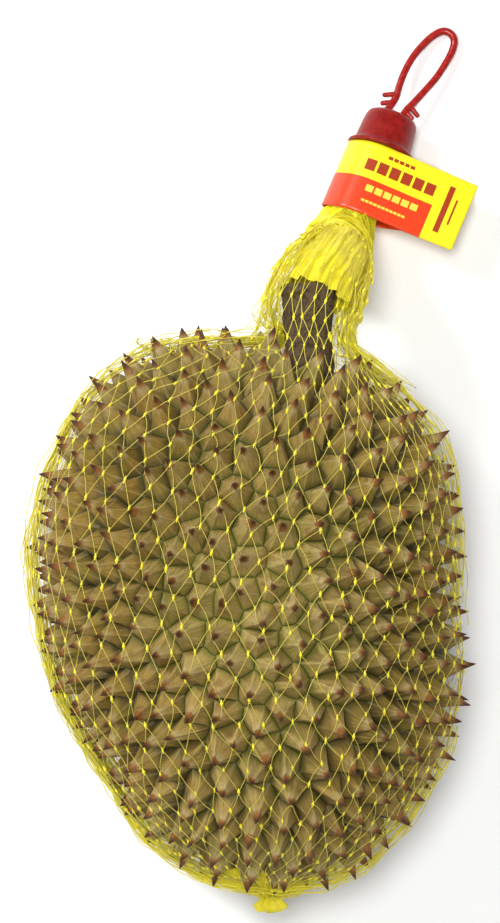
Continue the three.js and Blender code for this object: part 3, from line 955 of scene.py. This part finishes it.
def tubes_across(lines, radius, sides, side, over):
    """Tubes whose every ring lies in the plane of the directions side and over."""
    ring = ways_round(full_turn(sides), side[:, :, None], over[:, :, None])
    verts = lines[:, :, None] + ring * np.asarray(radius)[..., None, None]
    count, points = lines.shape[:2]
    base = (np.arange(count) * points * sides)[:, None, None]
    ring_start = (np.arange(points - 1) * sides)[None, :, None]
    a = base + ring_start + np.arange(sides)
    b = base + ring_start + (np.arange(sides) + 1) % sides
    quads = np.stack([a, b, b + sides, a + sides], -1).reshape(-1, 4)
    return verts.reshape(-1, 3), quads


def smooth_strands(strands, way, husk_map):
    """The strands as even curves that leave their knots along the net, and still rest on the spines."""
    lead = STRAND_LENGTH / STRAND_PARTS * 0.8
    low_way, high_way = knot_pairs(way)
    strands[..., 1, :] = 0.4 * strands[..., 1, :] + 0.6 * (strands[..., 0, :] + low_way * lead)
    strands[..., -2, :] = 0.4 * strands[..., -2, :] + 0.6 * (strands[..., -1, :] - high_way * lead)
    lines = strands.reshape(-1, STRAND_PARTS + 1, 3)
    on_fruit = (on_neck(lines) < 0.5)[:, 1:-1, None]
    for _ in range(10):
        even = 0.25 * lines[:, :-2] + 0.5 * lines[:, 1:-1] + 0.25 * lines[:, 2:]
        lines[:, 1:-1] = np.where(on_fruit, husk_map.push_out(even, 0.3 * MM), even)
    return lines


def build_net(husk_verts, husk_faces, tips, centre):
    """The knotted net: its strands, its knots, and the loose strands along the outline and the neck."""
    husk_map = HeightMap(centre, husk_verts, husk_faces, 450)
    hull_map = HeightMap(centre, *hull_of(tips), 180)
    knots, strands = settle(lay_net(centre), husk_map, hull_map)
    way = np.gradient(knots, axis=0)
    way = unit(0.5 * way + 0.5 * np.roll(way, 1, axis=1))
    lines = smooth_strands(strands, way, husk_map)
    bunches, folds = outline_bunches(hull_map, centre), neck_folds(centre)
    # Each piece with its node and the least painted light on its plastic, which makes the knots, bunches and
    # folds paler yellow than the single strands.
    pieces = [
        ("net_strands", "net_bag", round_strands(lines, STRAND_RADIUS, centre), 0.0),
        ("net_knots", "net_bag", knot_lumps(knots, way, unit(knots - centre)), 0.75),
        ("net_bunches", "net_bag", round_strands(bunches, BUNCH_RADIUS, centre), 0.6),
        ("net_folds", "net_neck", round_strands(folds, FOLD_RADIUS, centre), 0.7),
    ]
    plastic = net_material("net_strand_plastic", False)
    for name, node, (verts, quads), least in pieces:
        obj = make_object(name, verts, quads.tolist(), plastic, node)
        # Painted light, with a little random tone: at least the piece's share, and more where the strands
        # crowd at the tab and round the neck.
        tone_and_painted_light = least + 0.3 * wobble(verts, 9 * MM, 14) * least + crowded_painted_light(verts)
        set_attribute(obj, "tone_and_painted_light", np.clip(tone_and_painted_light, 0, 1))


def round_strands(lines, radius, centre):
    """Thin tubes along the lines."""
    return tubes(lines, np.full(lines.shape[:2], radius), 4, unit(lines - centre))


def crowded_painted_light(points):
    """How closely the strands lie together at each point, and so how much painted light they get: 1 at the
    tab, and half round the neck.
    """
    at_tab = np.clip((-168 * MM - points[..., 1]) / (12 * MM), 0, 1)
    return np.maximum(at_tab, 0.5 * on_neck(points))


def outline_bunches(hull_map, centre):
    """Slack strands of the net's underside that show beyond the fruit's outline."""
    inside = 2.5 * MM
    stream = np.random.default_rng(12)
    share = np.linspace(0, 1, LOOSE_POINTS)
    lines = []
    for (first, last), count, out in BUNCHES:
        for _ in range(count):
            # Each strand runs between two bearings in slow waves, level with the fruit's middle or under it.
            ends = np.array([first, last]) + stream.uniform(-9, 9, 2)
            turn = np.radians(np.linspace(*ends, LOOSE_POINTS))
            phase = stream.uniform(0, TAU)
            waves = stream.uniform(0.7, 1.8)
            rise = stream.uniform(-0.34, 0.02) + 0.035 * np.sin(waves * share * TAU + phase)
            flat = np.cos(rise)
            way = np.stack([np.cos(turn) * flat, np.sin(turn) * flat, np.sin(rise)], 1)
            stand = (out + inside) * stream.uniform(0, 1) * np.sin(math.pi * share) - inside
            sway = 0.5 * MM * np.sin(waves * 4 * share * TAU + 2 * phase)
            far = hull_map.at(way) + stand + sway
            lines.append(above_floor(centre + way * far[:, None], LOOSE_GAP))
    return np.array(lines)


def neck_folds(centre):
    """Slack strands in the neck's loose sides, half of them to the left and half to the right."""
    foot, _ = stem_line()
    line = sleeve_line(centre)
    origin, _, out, _ = cap_frame()
    keep = (line[:, 1] > foot[1] - 4 * MM) & ((line - origin) @ out < -LABEL_HEIGHT + 2 * MM)
    line = curve_through(line[keep][::5], LOOSE_POINTS)
    turns = full_turn(90)
    skin = even_out(sleeve_skin(line, turns), 3)
    _, right, over = level_frames(line)
    stream = np.random.default_rng(13)
    lines = []
    share = np.linspace(0, 1, LOOSE_POINTS)
    tight = np.clip((share - 0.75) / 0.25, 0, 1)
    for i in range(NECK_FOLDS):
        # The strands sway round their side of the neck, and lie flat where the label holds them tight.
        side = math.pi * (i % 2) + stream.normal() * 0.4 - 0.35 * (-1) ** i
        phase = stream.uniform(0, TAU)
        waves = stream.uniform(3, 8)
        sway = 0.16 * np.sin(waves * share * TAU + phase) * (1 - tight)
        turn = side + sway + stream.normal() * 0.5 * share**3
        radius = np.array([np.interp(t % TAU, turns, row, period=TAU) for t, row in zip(turn, skin)])
        radius = radius * (stream.uniform(0.72, 1.0) * (1 - tight) + 0.9 * tight)
        lines.append(above_floor(line + ways_round(turn, right, over) * radius[:, None], LOOSE_GAP))
    return np.array(lines)


def build_tab():
    """The net's blossom end: pleated to a wedge, with its welded end spread like a T."""
    sections = np.array(TAB_SECTIONS) * MM
    rows, around = 60, 120
    at = np.linspace(0, len(sections) - 1, rows)
    columns = [np.interp(at, np.arange(len(sections)), column) for column in sections.T]
    turn = full_turn(around)
    shares = np.linspace(0, 1, rows)
    rings = []
    for share, y, x, half, thick in zip(shares, *columns):
        pleats = 1 + 0.07 * np.cos(19 * turn + 2 * share) + 0.05 * np.cos(31 * turn + 1)
        ring = np.stack([x + half * np.cos(turn), np.full(around, y), thick * np.sin(turn) * pleats], 1)
        ring[:, 1] += 0.5 * MM * wobble(ring, 8 * MM, 41) * (share < 0.97)
        ring[:, 2] += TAB_HEIGHT + 0.5 * MM * wobble(ring, 12 * MM, 42)
        rings.append(ring)
    plastic = net_material("net_tab_plastic", True)
    obj = make_skin("net_tab_gather", rings, plastic, "net_tab")
    set_uv(obj, grid_uvs(shares * 20 * MM, around, 0.8 * MM))


def build_gather(centre):
    """The net above the stalk, pulled so tightly together that it is one pleated yellow mass."""
    _, end = stem_line()
    line = sleeve_line(centre)
    line = line[line[:, 1] > end[1] - 5 * MM]
    line = curve_through(line[::6], 110)
    _, right, over = level_frames(line)
    around = 168
    turn = full_turn(around)
    shares = np.linspace(0, 1, len(line))
    radii = np.interp(shares, *np.array(GATHER_PROFILE).T) * MM
    rings = []
    for i, (at, share, radius) in enumerate(zip(line, shares, radii)):
        way = ways_round(turn, right[i], over[i])
        drift = wobble(at + way * 10 * MM, 40 * MM, 31)
        pleats = 0.5 * np.cos(17 * turn + 2.2 * share + drift) + 0.35 * np.cos(29 * turn - 3 * share + drift)
        lumps = 0.7 * wobble(at + way * radius, 11 * MM, 32)
        skirt = 1.2 * max(0.0, 1 - share / 0.08) * np.cos(11 * turn + 1.3)
        ring = at + way * (radius + (pleats + lumps + skirt) * MM)[:, None]
        rings.append(above_floor(ring, LOOSE_GAP))
    plastic = net_material("net_gather_plastic", True)
    obj = make_skin("net_gather", rings, plastic, "net_neck")
    set_uv(obj, grid_uvs(reach_along(line), around, 12 * MM * TAU / around))


def hull_of(points):
    """The convex hull of points, as vertices and faces."""
    body = bmesh.new()
    for p in points:
        body.verts.new(p)
    found = bmesh.ops.convex_hull(body, input=body.verts)
    kept = [g for g in found["geom"] if isinstance(g, bmesh.types.BMFace)]
    body.verts.index_update()
    faces = [[v.index for v in face.verts] for face in kept]
    body.free()
    return np.asarray(points), faces


def knot_lumps(knots, way, outward):
    """A small uneven spindle at every knot, longest along the net."""
    along = way.reshape(-1, 3)
    side = unit(np.cross(along, outward.reshape(-1, 3)))
    over = np.cross(side, along)
    at = knots.reshape(-1, 3)
    stream = np.random.default_rng(9)
    size = stream.uniform(0.75, 1.1, len(at))
    lines = np.stack([at + along * (y * size * MM)[:, None] for y, _ in KNOT_SHAPE], 1)
    radius = np.stack([r * size * MM * stream.uniform(0.8, 1.2, len(at)) for _, r in KNOT_SHAPE], 1)
    return tubes_across(lines, radius, 6, side[:, None], over[:, None])


# ---- Cap


def cap_material():
    """Dark red moulded plastic, a little mottled."""
    s = Shader("cap_plastic", Specular_IOR_Level=0.22)
    mottle = s.noise(s.place(), 330.0, 4.0, 0.6)
    fine = s.noise(s.place(), 1500.0, 2.0)
    colour = s.mix(s.remap(mottle, 0.3, 0.7), (0.17, 0.005, 0.004), (0.26, 0.009, 0.006))
    s.set("Base Color", colour)
    s.set("Roughness", s.remap(mottle, 0.3, 0.7, 0.28, 0.42))
    s.bump(s.plus(mottle, s.times(fine, 0.3)), 0.35 * MM, 0.5)
    return s.material


def build_cap():
    """The bell-shaped cap: its rim and side, its rounded crown, and the hollow inside it."""
    rim = [(CAP_RIM_RADIUS + out * MM, up * MM) for out, up in CAP_RIM + CAP_SIDE]
    crown = [(CAP_CROWN_RADIUS + out * MM, CAP_LENGTH + up * MM) for out, up in CAP_CROWN]
    hub = 0.05 * MM
    inside = CAP_CROWN_RADIUS - CAP_WALL
    hollow = [
        (hub, CAP_LENGTH),
        (hub, CAP_LENGTH - CAP_WALL),
        (inside - 1.0 * MM, CAP_LENGTH - CAP_WALL - 0.1 * MM),
        (inside, CAP_LENGTH - CAP_WALL - 1.2 * MM),
        (CAP_RIM_RADIUS - 3.6 * MM, 1.0 * MM),
        rim[0],
    ]
    profile = rim + crown + hollow
    around = 128
    turn = full_turn(around)
    rings = [np.stack([r * np.cos(turn), np.full(around, y), r * np.sin(turn)], 1) for r, y in profile]
    make_skin("fine_cap", in_cap_frame(rings[::-1]), cap_material(), "clip_cap")


# ---- Loop


def loop_material():
    """Bright red moulded plastic, glossier than the cap's."""
    s = Shader("loop_plastic", Specular_IOR_Level=0.36)
    grain = s.noise(s.place(), 420.0, 3.0)
    colour = s.mix(s.remap(grain, 0.3, 0.7), (0.24, 0.006, 0.004), (0.33, 0.010, 0.006))
    s.set("Base Color", colour)
    s.set("Roughness", s.remap(grain, 0.3, 0.7, 0.2, 0.3))
    s.bump(grain, 0.25 * MM, 0.4)
    return s.material


def above_crown(points):
    """Points (x, y) in millimetres of the loop's plane, with the lift that lays its end along the floor."""
    x, y = np.asarray(points, float).T * MM
    lift = LOOP_RISE * (np.maximum(0, y) / LOOP_LENGTH) ** 2
    return np.stack([x, y + CAP_LENGTH, lift], 1)


def build_loop():
    """The carrying loop: one bent rod, a little thicker at its top, and the barbs on its legs."""
    sides = 20
    line = in_cap_frame(curve_through(above_crown(LOOP_LINE), 200))
    *_, over = cap_frame()
    share = np.linspace(-1, 1, len(line))
    radius = ROD_RADIUS * (1.04 + 0.1 * np.exp(-((share / 0.22) ** 2)))
    parts = [(line, radius)]
    for start, end in BARBS:
        barb = in_cap_frame(curve_through(above_crown([start, end]), 24))
        share = np.linspace(0, 1, 24)
        round_end = np.sqrt(np.clip(1 - np.clip((share - 0.88) / 0.12, 0, 1) ** 2, 0.01, 1))
        parts.append((barb, BARB_RADIUS * (1.15 - 0.2 * share) * round_end))
    verts, faces = [], []
    start = 0
    for points, radii in parts:
        outward = np.broadcast_to(over, points.shape)[None]
        made, quads = tubes(points[None], radii[None], sides, outward)
        verts.append(made)
        faces += (quads + start).tolist()
        last = start + len(made)
        faces.append(list(range(start, start + sides))[::-1])
        faces.append(list(range(last - sides, last)))
        start = last
    make_object("fine_loop", np.vstack(verts), faces, loop_material(), "loop_handle")


# ---- Label


def label_material():
    """Glossy yellow card with a red panel and plain blocks of ink."""
    s = Shader("label_card", Roughness=0.35, Specular_IOR_Level=0.4, Coat_Weight=0.3, Coat_Roughness=0.16)
    along = s.attribute("along")
    down = s.attribute("down")
    fibre = s.noise(s.place(), 900.0, 3.0)
    yellow = s.mix(s.remap(fibre, 0.3, 0.7), (0.79, 0.66, 0.006), (0.84, 0.71, 0.015))
    red = s.mix(s.remap(fibre, 0.3, 0.7), (0.68, 0.036, 0.004), (0.74, 0.05, 0.006))
    below = s.math("GREATER_THAN", down, PANEL_TOP)
    panel = s.times(below, s.math("GREATER_THAN", along, PANEL_START))
    colour = s.mix(panel, yellow, red)
    for first, last, top, bottom, block, ink in LABEL_BARS:
        bar = s.times(s.within(along, first * MM, last * MM), s.within(down, top * MM, bottom * MM))
        in_block = s.math("LESS_THAN", s.math("FRACT", s.math("DIVIDE", along, block * MM)), BLOCK_SHARE)
        colour = s.mix(s.times(bar, in_block), colour, ink)
    s.set("Base Color", colour)
    s.bump(fibre, 0.1 * MM, 0.15)
    return s.material


def label_section():
    """The strip's edge, seen along the throat: the flag's front, the wrap and the flag's back."""
    join, tip = np.array(LABEL_JOIN), np.array(LABEL_FLAG_END)
    spread = math.acos(LABEL_RADIUS / np.linalg.norm(join))
    facing = math.atan2(join[1], join[0])
    turn = np.linspace(facing + spread, facing - spread + TAU, 60)
    creased = LABEL_RADIUS * (1 + 0.014 * np.cos(6 * turn + 0.6))
    wrap = np.stack([creased * np.cos(turn), creased * np.sin(turn)], 1)
    wrap[:, 0] *= np.where(wrap[:, 0] < 0, LABEL_BULGE, 1)
    # The flag's two layers are this far from the middle between them.
    half = 0.22 * MM
    flag = unit(tip - join)
    side = np.array([-flag[1], flag[0]]) * half
    middle = tip + (join - tip) * 0.5
    return np.vstack([tip + side, middle + side, join + side, wrap, join - side, middle - side, tip - side])


def build_label():
    """The folded card label: its section carried down the throat, with a bowed flag."""
    section, at = resample(label_section(), 180)
    depth = np.linspace(0, LABEL_HEIGHT, 24)
    x, z = [np.repeat(column[:, None], len(depth), 1) for column in section.T]
    y = np.repeat(-LABEL_GAP - depth[None], len(at), 0)
    flag = np.clip((x - LABEL_JOIN[0]) / (LABEL_FLAG_END[0] - LABEL_JOIN[0]), 0, 1)
    z += 0.8 * MM * flag * np.sin(depth / LABEL_HEIGHT * math.pi)
    x += LABEL_SKEW * (depth - LABEL_HEIGHT / 2)
    y += LABEL_RISE * np.maximum(LABEL_JOIN[1] - z, 0) * depth / LABEL_HEIGHT
    verts = in_cap_frame(np.stack([x, y, z], -1).reshape(-1, 3))
    faces = grid_faces(len(at), len(depth), closed=False)
    obj = make_object("fine_label", verts, faces, label_material(), "wrap_label")
    set_attribute(obj, "along", np.repeat(np.minimum(at, at[-1] - at), len(depth)))
    set_attribute(obj, "down", np.tile(depth, len(at)))
    card = obj.modifiers.new("card", "SOLIDIFY")
    card.thickness = CARD_THICKNESS
    card.offset = 0


# ---- Stage


def build_floor():
    s = Shader("floor", Roughness=0.7, Specular_IOR_Level=0.2)
    tone = s.noise(s.place(), 3.0, 2.0)
    s.set("Base Color", s.mix(tone, (0.88, 0.88, 0.875), (0.90, 0.90, 0.895)))
    corners = np.array([(-1, -1, 0), (1, -1, 0), (1, 1, 0), (-1, 1, 0)]) * FLOOR_REACH
    add_object("floor", make_mesh("floor", corners, [(0, 1, 2, 3)], s.material))


def add_light(name, place, size, power):
    data = bpy.data.lights.new(name, "AREA")
    data.shape = "DISK"
    data.size = size
    data.energy = power
    light = add_object(name, data)
    light.location = place
    light.rotation_euler = (Vector(LAMP_TARGET) - Vector(place)).to_track_quat("-Z", "Y").to_euler()


def build_lights():
    for lamp in LAMPS:
        add_light(*lamp)
    bpy.context.scene.world = studio_world()


def studio_world():
    """White walls round the horizon under a dimmer ceiling."""
    world = bpy.data.worlds.new("studio")
    world.use_nodes = True
    tree = world.node_tree
    way = add_node(tree, "TexCoord", {}).outputs["Generated"]
    height = add_node(tree, "SeparateXYZ", {0: way}).outputs["Z"]
    limits = {"From Min": 0.14, "From Max": 0.30, "To Min": HORIZON_LIGHT, "To Max": CEILING_LIGHT}
    fade = add_node(tree, "MapRange", {"Value": height, **limits}, interpolation_type="SMOOTHSTEP")
    sky = tree.nodes["Background"]
    put(tree, sky.inputs["Strength"], fade.outputs["Result"])
    put(tree, sky.inputs["Color"], (1, 1, 1, 1))
    return world


def build_camera():
    data = bpy.data.cameras.new("camera")
    data.sensor_fit = "VERTICAL"
    data.sensor_height = SENSOR_HEIGHT
    data.lens = SENSOR_HEIGHT * CAMERA_DISTANCE / VIEW_HEIGHT
    data.clip_end = 20
    camera = add_object("camera", data)
    low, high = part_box("husk")
    camera.location = (*VIEW_CENTRE, (low.z + high.z) / 2 + CAMERA_DISTANCE)
    bpy.context.scene.camera = camera


bpy.context.scene.view_settings.view_transform = "Standard"
build_camera()
build_lights()
build_floor()
husk_verts, husk_faces, tips, fruit_centre = build_husk()
build_stem()
build_net(husk_verts, husk_faces, tips, fruit_centre)
build_gather(fruit_centre)
build_tab()
build_cap()
build_loop()
build_label()
